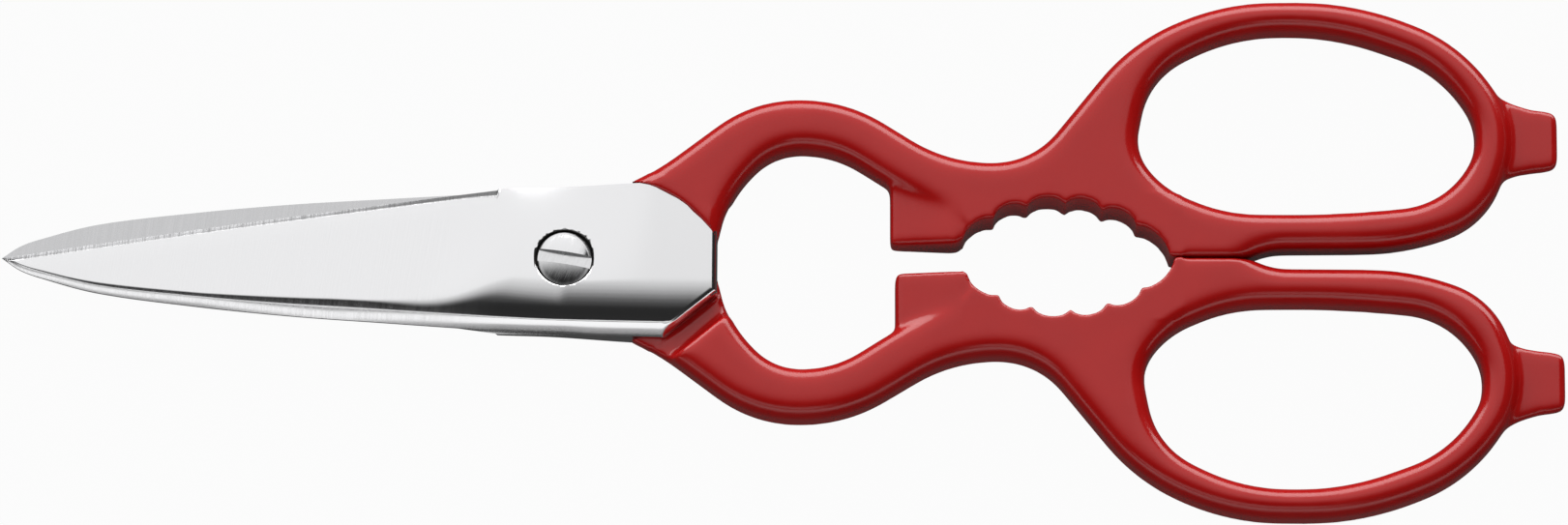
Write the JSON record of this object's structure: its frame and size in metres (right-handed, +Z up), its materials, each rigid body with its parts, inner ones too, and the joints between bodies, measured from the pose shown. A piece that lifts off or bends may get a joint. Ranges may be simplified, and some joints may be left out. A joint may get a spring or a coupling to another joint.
{
  "type": "kitchen shears",
  "caption": "Kitchen shears with pointed ground blades, coated finger loops, a bow with an opener jaw, a toothed gripper and screwdriver tabs, turning on a slotted screw.",
  "frame": {"origin": "centre of the closed outline on the surface that the shears lie on", "axes": "+X along the shears from the blade tips to the handles, +Y across them towards the front half's handle, +Z up out of the front face"},
  "size_m": [0.1996, 0.0676, 0.008],
  "materials": {
    "steel": "polished boss, ground blades",
    "red_coating": "glossy",
    "screw": "polished with light scratches"
  },
  "bodies": {
    "back": {"back_half": "steel", "back_coating": "red_coating", "pivot_screw": "screw"},
    "front": {"front_half": "steel", "front_coating": "red_coating"}
  },
  "joints": [
    {"name": "opening", "type": "hinge", "parent": "back", "child": "front", "pos_m": [-0.02785, 0, 0.004], "axis": [0, 0, 1], "range_deg": [0, 100]}
  ]
}
